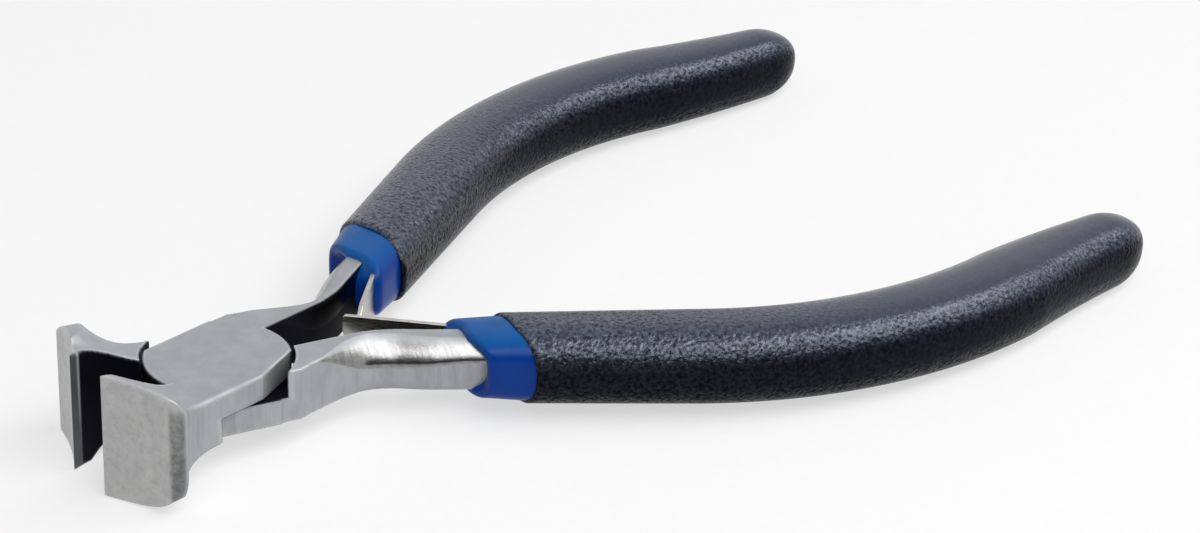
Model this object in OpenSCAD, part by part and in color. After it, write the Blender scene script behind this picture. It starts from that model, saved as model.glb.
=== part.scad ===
// End cutting nippers: two lap-jointed steel levers, leaf springs and sleeved grips.
// X runs along the tool with the jaws towards -X, and Z is the pivot axis.
// The origin is where the pivot axis meets the flat underside of the joint.
// Each lever is drawn shut, jaw on -Y and handle on +Y, then turned open.

/* [Opening] */
// Angle by which each lever stands open from the shut position
half_open = 10.7; // [6:0.1:14]

/* [Joint] */
// Thickness of the joint over both lap plates
joint_t = 5.6; // [5:0.1:6.6]
// Width of the joint between its ground sides
joint_w = 11.9; // [11:0.1:12.6]
// Radius of the lap plates' round ends
lap_r = 7.3; // [6.8:0.1:7.6]
// Gap between a lap plate's round end and the other lever's shoulder
shoulder_gap = 0.3; // [0.2:0.05:0.6]
// Gap between the two lap plates
lap_gap = 0.08; // [0.04:0.01:0.15]
// Distance from the pivot to the slanting cut on the lap plate's rear corner
lap_cut_d = 5.8; // [5.4:0.1:6.4]
// Direction that the slanting cut faces
lap_cut_angle = -72; // [-80:1:-60]

/* [Pivot rivet] */
// Radius of the rivet's shank
rivet_r = 2.2; // [1.6:0.1:3]
// Radius of the rivet's countersunk ends
rivet_head_r = 3; // [2.4:0.1:3.8]
// Depth of the rivet's countersunk ends
rivet_head_t = 0.9; // [0.5:0.1:1.4]
// Radial running clearance of the rivet in the lower lever
rivet_run = 0.05; // [0.02:0.01:0.1]

/* [Jaws] */
// Distance from the pivot to the cutting edges
jaw_reach = 15; // [14.4:0.1:16]
// Length of a cutting edge
edge_len = 13.3; // [11:0.1:15]
// Distance from the shut cutting edges to a jaw's outer side
jaw_side = 9.2; // [8.8:0.1:9.8]
// How far a jaw's outer corner stands behind its cutting edge
jaw_rake = 1.6; // [1:0.1:2.2]
// Bulge of a jaw's front face
face_bulge = 0.35; // [0.1:0.05:0.8]
// Thickness of the lip at a jaw's outer side
lip_t = 1.3; // [0.9:0.1:1.8]
// Size of the small corner of the lip, seen from the front
corner_r = 1.2; // [0.6:0.1:2]
// Width of the large corner of the lip, seen from the front
round_w = 7.2; // [4:0.1:7.6]
// Height of the large corner of the lip
round_h = 4.6; // [2:0.1:5.2]
// Radius of the hollows that widen the jaws above and below the joint
flare_r = 7.1; // [6.6:0.1:8]
// Distance from the pivot at which those hollows start
flare_x = 6.9; // [6.5:0.1:7.4]
// Radius of the hollows that widen the jaws sideways
side_flare_r = 4.6; // [3.6:0.1:5.6]
// Width of the throat between the shut jaws, at its inner end
throat_w = 2.6; // [2:0.1:3.4]
// Bulge of each throat wall
throat_bulge = 0.7; // [0.2:0.1:1]
// Width of the bevel behind a cutting edge
bevel_w = 1.2; // [0.8:0.1:1.6]
// Angle between the bevel and the shut line of the edges
bevel_angle = 31; // [20:1:40]

/* [Tangs] */
// Distance from the pivot to the knee on a tang's outer side
knee_x = 6.5; // [5.8:0.1:7.2]
// Distance from the shut line to the knee
knee_y = 5.7; // [5.3:0.1:5.9]
// Distance from the pivot to the waist behind the knee
waist_x = 13.9; // [13.2:0.1:14.4]
// Thickness of a tang at the waist
waist_w = 2.7; // [2.4:0.1:3]
// Distance from the shut line to a tang's inner side
tang_inner = 0.95; // [0.85:0.05:1.2]
// Hollow of a tang's outer side between knee and waist
waist_hollow = 0.4; // [0.2:0.05:0.7]
// Radius of the bend behind the waist
tang_bend_r = 12; // [10:0.5:14]
// Angle of that bend
tang_bend_angle = 22.6; // [20:0.1:26]
// Width of a tang where it enters its sleeve
tang_w = 3.4; // [3:0.1:3.8]
// Height of a tang where it enters its sleeve
tang_h = 5.4; // [5:0.1:5.6]
// Height of a tang at its hidden end
tang_end_h = 4.8; // [4:0.1:5.4]
// Length of a tang that stays hidden in its sleeve
tang_hidden = 54; // [40:1:60]
// Distance by which a tang lies outside its sleeve's centre line
tang_offset = 0.5; // [0.3:0.05:0.7]

/* [Grips] */
// Length of the straight run of a handle behind the bend
grip_run = 29.4; // [25:0.1:32]
// Length of the curved part of a handle
grip_curve = 36.2; // [34:0.1:42]
// Angle of the curved part
grip_curve_angle = -41.8; // [-46:0.1:-36]
// Length of the tail of a handle
grip_tail = 20.4; // [17:0.1:24]
// Angle of the tail's back curve
grip_tail_angle = 8.2; // [5:0.1:14]
// Distance from the bend to the front of the blue sleeve
sleeve_front = 5.8; // [5.5:0.1:6.2]
// Length of blue sleeve that shows ahead of the black grip
collar_len = 4.8; // [4.4:0.1:6]
// How far the inner sides of the front edges stand ahead of the middle
front_slant = 2.3; // [1.8:0.1:2.8]
// Width of the blue sleeve at its front
sleeve_front_w = 7.8; // [7.4:0.1:8.4]
// Height of the blue sleeve at its front
sleeve_front_h = 6.8; // [6.5:0.1:7.4]
// Width of the blue sleeve inside the black grip
sleeve_w = 8.4; // [8.2:0.1:8.7]
// Height of the blue sleeve inside the black grip
sleeve_h = 7.4; // [7.2:0.1:7.6]
// Width of the blue sleeve at its hidden end
sleeve_end_w = 5.2; // [4.8:0.1:5.6]
// Distance from the blue sleeve's hidden end to the tip of the grip
sleeve_short = 6; // [4.5:0.5:9]
// Width of the black grip at its front
grip_front_w = 9.6; // [9.2:0.1:10.2]
// Width of the black grip at its fullest
grip_w = 10.2; // [9.8:0.1:11.4]
// Width of the black grip at its tip
grip_end_w = 6.6; // [6.4:0.1:8]
// Height of the black grip at its front
grip_front_h = 8.3; // [8.1:0.1:9]
// Height of the black grip at its fullest
grip_h = 8.6; // [8.4:0.1:9.6]
// Height of the black grip at its tip
grip_end_h = 7.6; // [7.2:0.1:8.4]
// Length of the grip's round tip
tip_len = 5.3; // [4:0.1:7]
// Gap between a sleeve and what it is pushed over
sleeve_gap = 0.05; // [0.02:0.01:0.1]

/* [Leaf springs] */
// Thickness of a leaf spring
leaf_t = 0.5; // [0.4:0.05:0.6]
// Width of a leaf spring
leaf_w = 4.6; // [4.4:0.1:5]
// Distance from the pivot to the tip of the upper leaf spring
leaf_tip_x = 16.7; // [16.2:0.1:17.4]
// How far the lower leaf spring reaches past the tip of the upper one
leaf_longer = 2; // [0:0.1:2.2]
// Width of the large corner at the tip of a leaf spring
leaf_round_w = 2.8; // [1.6:0.1:3.2]
// Height of that large corner
leaf_round_h = 3.8; // [2:0.1:3.9]
// Size of the small corner at the tip of a leaf spring
leaf_corner_r = 0.5; // [0.3:0.1:0.6]
// Gap across the shut line between the two leaf springs
leaf_tip_gap = 0.3; // [0.2:0.05:0.5]
// Distance from the bend to the root of a leaf spring
leaf_root_run = 6.7; // [6.4:0.1:7.2]
// Distance from a sleeve's centre line to the root of its leaf spring
leaf_root_in = 2.3; // [2.2:0.05:2.4]
// Length of a leaf spring behind its root
leaf_tail = 2; // [1.8:0.1:2.4]
// Room for a leaf spring to turn at its root, on each side
leaf_room = 0.42; // [0.4:0.01:0.46]
// Radius of the spring rivet's shank
stud_r = 0.7; // [0.5:0.05:0.8]
// Gap between the spring rivet's shank and the leaf
stud_gap = 0.15; // [0.12:0.01:0.2]
// Radius of the spring rivet's head
stud_head_r = 1.2; // [1:0.05:1.3]
// Thickness of the spring rivet's head
stud_head_t = 0.45; // [0.3:0.05:0.5]
// Length of the spring rivet's shank inside the tang
stud_deep = 1.6; // [1:0.1:2]

/* [Hidden] */
$fn = 64;

// Overrun that makes every cut pass clear of the face it starts on
overrun = 1;
// Steps along a drawn curve, sides of a swept section and steps round a dome
curve_steps = 10;
sides = 20;
dome_steps = 5;
// Angle at which a dome ends in a small flat
dome_top = 84;
// Longest distance between two sections of a sweep
ring_step = 3;
// Roundness of the swept sections: high is boxy, two is an ellipse
waist_power = 16;
tang_power = 3;
sleeve_power = 2.6;
grip_power = 2.3;
// Distance over which the slanted front edges fade to square sections
slant_fade = 14;

shoulder_r = lap_r + shoulder_gap;
half_joint = joint_t/2;
mid_plane = half_joint;

// Outline of a jaw
edge = [-jaw_reach, 0];
jaw_corner = [-jaw_reach + jaw_rake, -jaw_side];
lip_back = jaw_corner + [lip_t, 0];
side_flare_x = lip_back[0] + sqrt(pow(side_flare_r, 2) - pow(side_flare_r + joint_w/2 - jaw_side, 2));
bevel_end = edge + bevel_w*[cos(bevel_angle), -sin(bevel_angle)];
throat_end = [-sqrt(pow(lap_r, 2) - pow(throat_w/2, 2)), -throat_w/2];
front_dir = (jaw_corner - edge)/norm(jaw_corner - edge);

// Outline of a tang's root, and the centre line that the rest of the handle follows
waist_mid = [waist_x, tang_inner + waist_w/2];
notch = [sqrt(pow(lap_r, 2) - pow(tang_inner, 2)), tang_inner];
lead_in = waist_x - knee_x;
path_start = waist_mid - [lead_in, 0];
bend_len = tang_bend_r*tang_bend_angle*PI/180;
// Each stretch of the centre line is a length and the angle that it turns through
path_parts = [
    [lead_in, 0],
    [bend_len, tang_bend_angle],
    [grip_run, 0],
    [grip_curve, grip_curve_angle],
    [grip_tail, grip_tail_angle]
];
bend_end = lead_in + bend_len;
path_len = bend_end + grip_run + grip_curve + grip_tail;

sleeve_at = bend_end + sleeve_front;
grip_at = sleeve_at + collar_len;
sleeve_end = path_len - sleeve_short;
sleeve_dome = sleeve_end_w/2;
tang_end = sleeve_at + tang_hidden;

// Root and tip of the upper leaf spring on its shut lever
leaf_root_s = bend_end + leaf_root_run;
leaf_root = side_point(leaf_root_s, leaf_root_in);
leaf_tip_open = [leaf_tip_x, (leaf_tip_gap + leaf_t)/2];
leaf_tip = turned(leaf_tip_open, -half_open);
leaf_len = norm(leaf_tip - leaf_root);
leaf_angle = atan2(leaf_tip[1] - leaf_root[1], leaf_tip[0] - leaf_root[0]);
seat_drop = leaf_t/2 + leaf_room;
seat_len = 2*stud_head_r;

function turned(p, angle) = [
    p[0]*cos(angle) - p[1]*sin(angle),
    p[0]*sin(angle) + p[1]*cos(angle)
];

// Points from p to q on a shallow curve that bulges to the right of the way by bulge
function bow(p, q, bulge) = let (way = (q - p)/norm(q - p), right = [way[1], -way[0]]) [
    for (i = [0 : curve_steps])
        let (t = i/curve_steps) p + (q - p)*t + right*bulge*4*t*(1 - t)
];

// Points that round the corner c between p and q
function rounded(p, c, q) = [
    for (i = [0 : curve_steps])
        let (t = i/curve_steps) p*pow(1 - t, 2) + c*2*t*(1 - t) + q*pow(t, 2)
];

// End of a stretch that starts at p with a heading
function part_end(p, heading, len, turn) = turn == 0
    ? p + len*[cos(heading), sin(heading)]
    : let (r = len*180/(PI*turn))
        p + r*[sin(heading + turn) - sin(heading), cos(heading) - cos(heading + turn)];

// Place and heading on the centre line, s along it
function walk(s, i = 0, p = path_start, heading = 0) =
    let (len = path_parts[i][0], turn = path_parts[i][1])
    s <= len || i == len(path_parts) - 1
        ? [part_end(p, heading, s, turn*s/len), heading + turn*s/len]
        : walk(s - len, i + 1, part_end(p, heading, len, turn), heading + turn);

// Point beside the centre line, towards the other handle
function side_point(s, inward) = let (at = walk(s))
    at[0] + inward*[sin(at[1]), -cos(at[1])];

function signed_pow(v, power) = sign(v)*pow(abs(v), power);

// One section of a sweep: half width a, half height b, centre moved inward by shift
function section(s, a, b, power, shift = 0, slant = 0) = [
    for (k = [0 : sides - 1])
        let (
            turn = 360*k/sides,
            across = a*signed_pow(cos(turn), 2/power),
            p = side_point(s - slant*cos(turn), shift + across)
        )
        [p[0], p[1], b*signed_pow(sin(turn), 2/power)]
];

// Closed skin over a row of sections, from the first to the last
module skin(rings) {
    last = len(rings) - 1;
    points = [for (ring = rings) for (p = ring) p];
    walls = [
        for (j = [0 : last - 1])
            for (k = [0 : sides - 1])
                for (half = [0, 1])
                    let (next = (k + 1) % sides, here = j*sides, there = (j + 1)*sides)
                    half == 0
                        ? [here + k, there + next, there + k]
                        : [here + k, here + next, there + next]
    ];
    first_cap = [for (k = [0 : sides - 1]) sides - 1 - k];
    last_cap = [for (k = [0 : sides - 1]) last*sides + k];
    polyhedron(points, concat(walls, [first_cap], [last_cap]));
}

// Places for sections from one place to another, no further apart than the step
function places(from, to) = let (count = ceil((to - from)/ring_step))
    [for (i = [0 : count]) from + (to - from)*i/count];

// Angles round a dome, stopping short of its pole
dome_angles = [for (i = [1 : dome_steps]) dome_top*i/dome_steps];

// Sections of a closed sleeve surface, from its slanted front to its round end
function sleeve_rings(from, to, dome, widths, heights, power, grow) = concat(
    [
        for (s = places(from, to - dome))
            section(
                s, lookup(s, widths)/2 + grow, lookup(s, heights)/2 + grow, power, 0,
                front_slant*max(0, 1 - (s - from)/slant_fade)
            )
    ],
    [
        for (angle = dome_angles)
            let (s = to - dome + (dome + grow)*sin(angle))
            section(
                s, (lookup(s, widths)/2 + grow)*cos(angle),
                (lookup(s, heights)/2 + grow)*cos(angle), power
            )
    ]
);

function reversed(list) = [for (i = [len(list) - 1 : -1 : 0]) list[i]];

sleeve_widths = [
    [sleeve_at, sleeve_front_w], [grip_at, sleeve_w],
    [path_len - grip_tail, sleeve_w], [sleeve_end, sleeve_end_w]
];
sleeve_heights = [
    [sleeve_at, sleeve_front_h], [grip_at, sleeve_h],
    [path_len - grip_tail, sleeve_h], [sleeve_end, sleeve_end_w]
];
full_from = bend_end + grip_run;
full_to = path_len - grip_tail;
grip_widths = [[grip_at, grip_front_w], [full_from, grip_w], [full_to, grip_w], [path_len, grip_end_w]];
grip_heights = [[grip_at, grip_front_h], [full_from, grip_h], [full_to, grip_h], [path_len, grip_end_h]];
tang_widths = [
    [lead_in, waist_w], [sleeve_at - front_slant, tang_w], [tang_end, tang_w]
];
tang_heights = [
    [lead_in, joint_t], [sleeve_at - front_slant, tang_h], [tang_end, tang_end_h]
];
tang_powers = [[lead_in, waist_power], [sleeve_at - front_slant, tang_power]];
tang_shifts = [[lead_in, 0], [sleeve_at - front_slant, -tang_offset]];

function tang_ring(s, grow) = section(
    s, lookup(s, tang_widths)/2 + grow, lookup(s, tang_heights)/2 + grow,
    lookup(s, tang_powers), lookup(s, tang_shifts)
);

// A jaw seen from the front, its outer corners rounded
module lip_outline() {
    half_edge = edge_len/2;
    polygon(concat(
        [[overrun, half_edge]],
        rounded([corner_r - jaw_side, half_edge], [-jaw_side, half_edge], [-jaw_side, half_edge - corner_r]),
        rounded([-jaw_side, round_h - half_edge], [-jaw_side, -half_edge], [round_w - jaw_side, -half_edge]),
        [[overrun, -half_edge]]
    ));
}

module jaw_outline() {
    lip_start = jaw_corner - front_dir*lip_t;
    polygon(concat(
        bow(edge, lip_start, -face_bulge),
        rounded(lip_start, jaw_corner, lip_back),
        [
            [side_flare_x, -jaw_side],
            [side_flare_x, -joint_w/2],
            [0, -joint_w/2],
            [0, 0]
        ],
        bow(throat_end, bevel_end, -throat_bulge)
    ));
}

// A jaw as wide as its cutting edge, hollowed down to the joint
module jaw() {
    difference() {
        intersection() {
            linear_extrude(height = edge_len, center = true) jaw_outline();
            rotate([90, 0, 90])
                linear_extrude(height = 2*jaw_reach + overrun, center = true) lip_outline();
        }
        translate([side_flare_x, -joint_w/2 - side_flare_r, 0])
            cylinder(r = side_flare_r, h = edge_len + overrun, center = true);
        for (side = [-1, 1])
            translate([-flare_x, 0, side*(half_joint + flare_r)]) {
                rotate([90, 0, 0])
                    cylinder(r = flare_r, h = 2*jaw_side + overrun, center = true);
                translate([0, -jaw_side - overrun, -flare_r])
                    cube([flare_x + overrun, 2*(jaw_side + overrun), 2*flare_r]);
            }
    }
}

// Round lap plate with ground sides and a slanting rear corner
module lap_outline() {
    intersection() {
        circle(lap_r);
        square([2*(lap_r + overrun), joint_w], center = true);
        rotate(lap_cut_angle)
            translate([lap_cut_d - 2*lap_r, -lap_r])
                square(2*lap_r);
    }
}

module tang_root_outline() {
    waist_out = waist_mid + [0, waist_w/2];
    polygon(concat(
        [[0, 0], notch, [waist_x, tang_inner]],
        bow(waist_out, [knee_x, knee_y], -waist_hollow),
        [[0, joint_w/2]]
    ));
}

// Axes at the root of the shut upper lever's leaf spring: X runs to the tip, Y away from the tang
module at_leaf_root() {
    translate(leaf_root) rotate(leaf_angle) children();
}

module tang() {
    skin([for (s = places(lead_in, tang_end)) tang_ring(s, 0)]);
    at_leaf_root()
        translate([-seat_len/2, -seat_drop - tang_w/2, -leaf_w/2])
            cube([seat_len, tang_w/2, leaf_w]);
}

// Shank of the spring rivet, from the leaf's middle into the tang
module stud_hole() {
    rotate([90, 0, 0])
        cylinder(r = stud_r, h = seat_drop + stud_deep);
}

module rivet_bore(grow) {
    rotate_extrude()
        polygon([
            [0, -half_joint], [rivet_head_r + grow, -half_joint],
            [rivet_r + grow, rivet_head_t - half_joint], [rivet_r + grow, half_joint - rivet_head_t],
            [rivet_head_r + grow, half_joint], [0, half_joint]
        ]);
}

// The shut upper lever, its lower half cut away for the other lap plate
module lever(bore_grow) {
    difference() {
        union() {
            jaw();
            linear_extrude(height = joint_t, center = true) {
                lap_outline();
                tang_root_outline();
            }
            tang();
        }
        translate([0, 0, lap_gap/2 - edge_len])
            cylinder(r = shoulder_r, h = edge_len);
        rivet_bore(bore_grow);
        at_leaf_root() stud_hole();
    }
}

// Leaf spring that reaches further than the upper one by extra
module leaf_spring(extra) {
    tip = leaf_len + extra;
    half_w = leaf_w/2;
    at_leaf_root()
        rotate([90, 0, 0])
            linear_extrude(height = leaf_t, center = true)
                difference() {
                    polygon(concat(
                        [[-leaf_tail, half_w], [-leaf_tail, -half_w]],
                        rounded(
                            [tip - leaf_corner_r, -half_w], [tip, -half_w], [tip, leaf_corner_r - half_w]
                        ),
                        rounded([tip, half_w - leaf_round_h], [tip, half_w], [tip - leaf_round_w, half_w])
                    ));
                    circle(stud_r + stud_gap);
                }
}

module spring_rivet() {
    at_leaf_root()
        rotate([90, 0, 0]) {
            translate([0, 0, -seat_drop]) cylinder(r = stud_r, h = 2*seat_drop + stud_deep);
            translate([0, 0, -seat_drop - stud_head_t]) cylinder(r = stud_head_r, h = stud_head_t);
        }
}

// Room for the leaf spring, its seat and its rivet inside the blue sleeve
module leaf_pocket() {
    pocket_out = seat_drop + tang_w/2;
    pocket_in = seat_drop + stud_head_t + sleeve_gap;
    pocket_h = leaf_w + 2*leaf_room;
    at_leaf_root()
        translate([-leaf_tail - leaf_room, -pocket_out, -pocket_h/2])
            cube([leaf_len + leaf_tail, pocket_out + pocket_in, pocket_h]);
}

module collar_sleeve() {
    difference() {
        skin(sleeve_rings(
            sleeve_at, sleeve_end, sleeve_dome, sleeve_widths, sleeve_heights, sleeve_power, 0
        ));
        skin([
            for (s = places(sleeve_at - 2*front_slant, tang_end + sleeve_gap))
                tang_ring(s, sleeve_gap)
        ]);
        leaf_pocket();
    }
}

module grip() {
    outside = sleeve_rings(
        grip_at, path_len, tip_len, grip_widths, grip_heights, grip_power, 0
    );
    inside = sleeve_rings(
        grip_at, sleeve_end, sleeve_dome, sleeve_widths, sleeve_heights, sleeve_power, sleeve_gap
    );
    skin(concat(reversed(inside), outside));
}

// Places a piece of the upper lever, drawn shut, in the opened tool
module on_upper() {
    translate([0, 0, mid_plane]) rotate(half_open) children();
}

// The lower lever is the upper one turned over about the tool's length
module on_lower() {
    translate([0, 0, mid_plane]) rotate([180, 0, 0]) rotate(half_open) children();
}

module upper_lever() {
    color("silver") on_upper() lever(0);
}

module lower_lever() {
    color("silver") on_lower() lever(rivet_run);
}

module pivot_rivet() {
    color("lightgray") on_upper() rivet_bore(0);
}

module upper_leaf_spring() {
    color("gainsboro") on_upper() leaf_spring(0);
}

module lower_leaf_spring() {
    color("gainsboro") on_lower() leaf_spring(leaf_longer);
}

module upper_spring_rivet() {
    color("darkgray") on_upper() spring_rivet();
}

module lower_spring_rivet() {
    color("darkgray") on_lower() spring_rivet();
}

module upper_collar_sleeve() {
    color("royalblue") on_upper() collar_sleeve();
}

module lower_collar_sleeve() {
    color("royalblue") on_lower() collar_sleeve();
}

module upper_grip() {
    color("dimgray") on_upper() grip();
}

module lower_grip() {
    color("dimgray") on_lower() grip();
}

upper_lever();
lower_lever();
pivot_rivet();
upper_leaf_spring();
lower_leaf_spring();
upper_spring_rivet();
lower_spring_rivet();
upper_collar_sleeve();
lower_collar_sleeve();
upper_grip();
lower_grip();
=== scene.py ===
import math
import bpy
import numpy as np
from mathutils import Matrix, Vector


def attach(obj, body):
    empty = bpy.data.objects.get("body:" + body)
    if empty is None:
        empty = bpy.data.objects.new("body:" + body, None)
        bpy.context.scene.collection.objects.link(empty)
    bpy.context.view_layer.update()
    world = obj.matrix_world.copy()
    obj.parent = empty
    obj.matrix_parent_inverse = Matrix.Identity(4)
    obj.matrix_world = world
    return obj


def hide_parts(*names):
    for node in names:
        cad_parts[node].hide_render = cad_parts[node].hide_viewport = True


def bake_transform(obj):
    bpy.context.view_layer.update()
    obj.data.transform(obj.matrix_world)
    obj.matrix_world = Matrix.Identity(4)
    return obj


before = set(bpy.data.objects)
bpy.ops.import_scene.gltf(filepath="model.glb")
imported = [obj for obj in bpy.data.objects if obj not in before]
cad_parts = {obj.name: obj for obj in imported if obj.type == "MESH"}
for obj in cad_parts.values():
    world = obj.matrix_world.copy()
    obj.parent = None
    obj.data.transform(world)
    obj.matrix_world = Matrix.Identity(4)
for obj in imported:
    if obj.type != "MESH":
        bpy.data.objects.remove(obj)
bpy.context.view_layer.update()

# Sizes in millimetres, the same as in the part's source
MM = 0.001
HALF_OPEN = 10.7
JOINT_T, JOINT_W = 5.6, 11.9
LAP_R, SHOULDER_GAP, LAP_GAP = 7.3, 0.3, 0.08
LAP_CUT_D, LAP_CUT_ANGLE = 5.8, -72
RIVET_R, RIVET_HEAD_R, RIVET_HEAD_T = 2.2, 3.0, 0.9
JAW_REACH, EDGE_LEN, JAW_SIDE, JAW_RAKE = 15.0, 13.3, 9.2, 1.6
FACE_BULGE, LIP_T, CORNER_R = 0.35, 1.3, 1.2
FLARE_R, FLARE_X, SIDE_FLARE_R = 7.1, 6.9, 4.6
THROAT_W, THROAT_BULGE, BEVEL_W, BEVEL_ANGLE = 2.6, 0.7, 1.2, 31
KNEE, WAIST_X, WAIST_W = (6.5, 5.7), 13.9, 2.7
TANG_INNER, WAIST_HOLLOW = 0.95, 0.4
TANG_BEND_R, TANG_BEND_ANGLE = 12.0, 22.6
TANG_W, TANG_H, TANG_OFFSET = 3.4, 5.4, 0.5
GRIP_RUN, GRIP_CURVE, GRIP_CURVE_ANGLE = 29.4, 36.2, -41.8
GRIP_TAIL, GRIP_TAIL_ANGLE = 20.4, 8.2
SLEEVE_FRONT, COLLAR_LEN, FRONT_SLANT, SLANT_FADE = 5.8, 4.8, 2.3, 14.0
SLEEVE_FRONT_W, SLEEVE_FRONT_H, SLEEVE_W, SLEEVE_H = 7.8, 6.8, 8.4, 7.4
GRIP_FRONT_W, GRIP_W, GRIP_END_W = 9.6, 10.2, 6.6
GRIP_FRONT_H, GRIP_H, GRIP_END_H, TIP_LEN = 8.3, 8.6, 7.6, 5.3
LEAF_T, LEAF_W, LEAF_TIP_X, LEAF_TIP_GAP, LEAF_LONGER = 0.5, 4.6, 16.7, 0.3, 2.0
LEAF_ROUND_W, LEAF_ROUND_H, LEAF_CORNER_R = 2.8, 3.8, 0.5
LEAF_ROOT_RUN, LEAF_ROOT_IN, LEAF_TAIL = 6.7, 2.3, 2.0

HALF_JOINT = JOINT_T/2
SHOULDER_R = LAP_R + SHOULDER_GAP
LEAD_IN = WAIST_X - KNEE[0]
BEND_LEN = TANG_BEND_R*math.radians(TANG_BEND_ANGLE)
BEND_END = LEAD_IN + BEND_LEN
PATH_LEN = BEND_END + GRIP_RUN + GRIP_CURVE + GRIP_TAIL
SLEEVE_AT = BEND_END + SLEEVE_FRONT
GRIP_AT = SLEEVE_AT + COLLAR_LEN
FULL_FROM, FULL_TO = BEND_END + GRIP_RUN, PATH_LEN - GRIP_TAIL
PATH_PARTS = (
    (LEAD_IN, 0), (BEND_LEN, TANG_BEND_ANGLE), (GRIP_RUN, 0),
    (GRIP_CURVE, GRIP_CURVE_ANGLE), (GRIP_TAIL, GRIP_TAIL_ANGLE),
)


# Shapes in the plane of the tool

def smooth(lo, hi, v):
    t = np.clip((np.asarray(v, float) - lo)/(hi - lo), 0, 1)
    return t*t*(3 - 2*t)


def bow(p, q, bulge, count=20):
    """Points from p to q that bulge to the right of the way."""
    p, q = np.array(p, float), np.array(q, float)
    way = (q - p)/np.linalg.norm(q - p)
    right = np.array((way[1], -way[0]))
    t = np.linspace(0, 1, count)[:, None]
    return p + (q - p)*t + right*bulge*4*t*(1 - t)


def rounded(p, c, q, count=14):
    """Points that round the corner c between p and q."""
    p, c, q = (np.array(v, float) for v in (p, c, q))
    t = np.linspace(0, 1, count)[:, None]
    return p*(1 - t)**2 + c*2*t*(1 - t) + q*t**2


def centre_line(step):
    """Places, headings and lengths along a handle's centre line, shut."""
    place = np.array((KNEE[0], TANG_INNER + WAIST_W/2))
    heading, start = 0.0, 0.0
    places, headings, lengths = [], [], []
    for length, turn in PATH_PARTS:
        count = max(2, int(round(length/step)))
        bend = math.radians(turn)/length
        for i in range(count):
            s = length*i/count
            places.append(place + arc_step(heading, s, bend))
            headings.append(heading + bend*s)
            lengths.append(start + s)
        place = place + arc_step(heading, length, bend)
        heading += bend*length
        start += length
    places.append(place)
    headings.append(heading)
    lengths.append(start)
    return np.array(places), np.array(headings), np.array(lengths)


def arc_step(heading, s, bend):
    if bend == 0:
        return s*np.array((math.cos(heading), math.sin(heading)))
    end = heading + bend*s
    return np.array((math.sin(end) - math.sin(heading), math.cos(heading) - math.cos(end)))/bend


LINE_P, LINE_H, LINE_S = centre_line(0.05)


def on_line(s):
    """Places on the centre line and the directions towards the other handle."""
    s = np.asarray(s, float)
    x = np.interp(s, LINE_S, LINE_P[:, 0])
    y = np.interp(s, LINE_S, LINE_P[:, 1])
    h = np.interp(s, LINE_S, LINE_H)
    over = np.maximum(s - PATH_LEN, 0)
    return x + over*np.cos(h), y + over*np.sin(h), np.sin(h), -np.cos(h)


def upper_matrix():
    return Matrix.Translation((0, 0, HALF_JOINT*MM)) @ Matrix.Rotation(math.radians(HALF_OPEN), 4, "Z")


def lower_matrix():
    turn_over = Matrix.Rotation(math.pi, 4, "X") @ Matrix.Rotation(math.radians(HALF_OPEN), 4, "Z")
    return Matrix.Translation((0, 0, HALF_JOINT*MM)) @ turn_over


HALVES = {"upper": upper_matrix(), "lower": lower_matrix()}


def place_points(points, half):
    """Points in millimetres on the shut upper lever, placed in the opened tool in metres."""
    m = np.array(HALVES[half])
    return points*MM @ m[:3, :3].T + m[:3, 3]


def make_mesh(name, points, faces):
    mesh = bpy.data.meshes.new(name)
    mesh.from_pydata([tuple(p) for p in points], [], [tuple(f) for f in faces])
    mesh.validate()
    mesh.polygons.foreach_set("use_smooth", np.ones(len(mesh.polygons), bool))
    mesh.update()
    obj = bpy.data.objects.new(name, mesh)
    bpy.context.scene.collection.objects.link(obj)
    return obj


def add_mask(obj, name, values):
    layer = obj.data.attributes.new(name, "FLOAT", "POINT")
    layer.data.foreach_set("value", np.asarray(values, np.float32))


# Levers: distance fields turned into a skin

def outline_distance(points, x, y):
    """Signed distance from places to a closed outline, negative inside."""
    points = np.asarray(points, float)
    best = np.full(np.broadcast(x, y).shape, np.inf)
    inside = np.zeros(best.shape, bool)
    for (ax, ay), (bx, by) in zip(points, np.roll(points, -1, 0)):
        dx, dy = bx - ax, by - ay
        if dx == 0 and dy == 0:
            continue
        t = np.clip(((x - ax)*dx + (y - ay)*dy)/(dx*dx + dy*dy), 0, 1)
        best = np.minimum(best, (x - ax - t*dx)**2 + (y - ay - t*dy)**2)
        if dy != 0:
            inside ^= ((ay > y) != (by > y)) & (x < ax + dx*(y - ay)/dy)
    return np.where(inside, -1, 1)*np.sqrt(best)


def meet(a, b, r):
    """Where both a and b are solid, with the edge between them rounded by r."""
    u, v = np.maximum(a + r, 0), np.maximum(b + r, 0)
    return np.minimum(np.maximum(a, b), -r) + np.sqrt(u*u + v*v)


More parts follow.
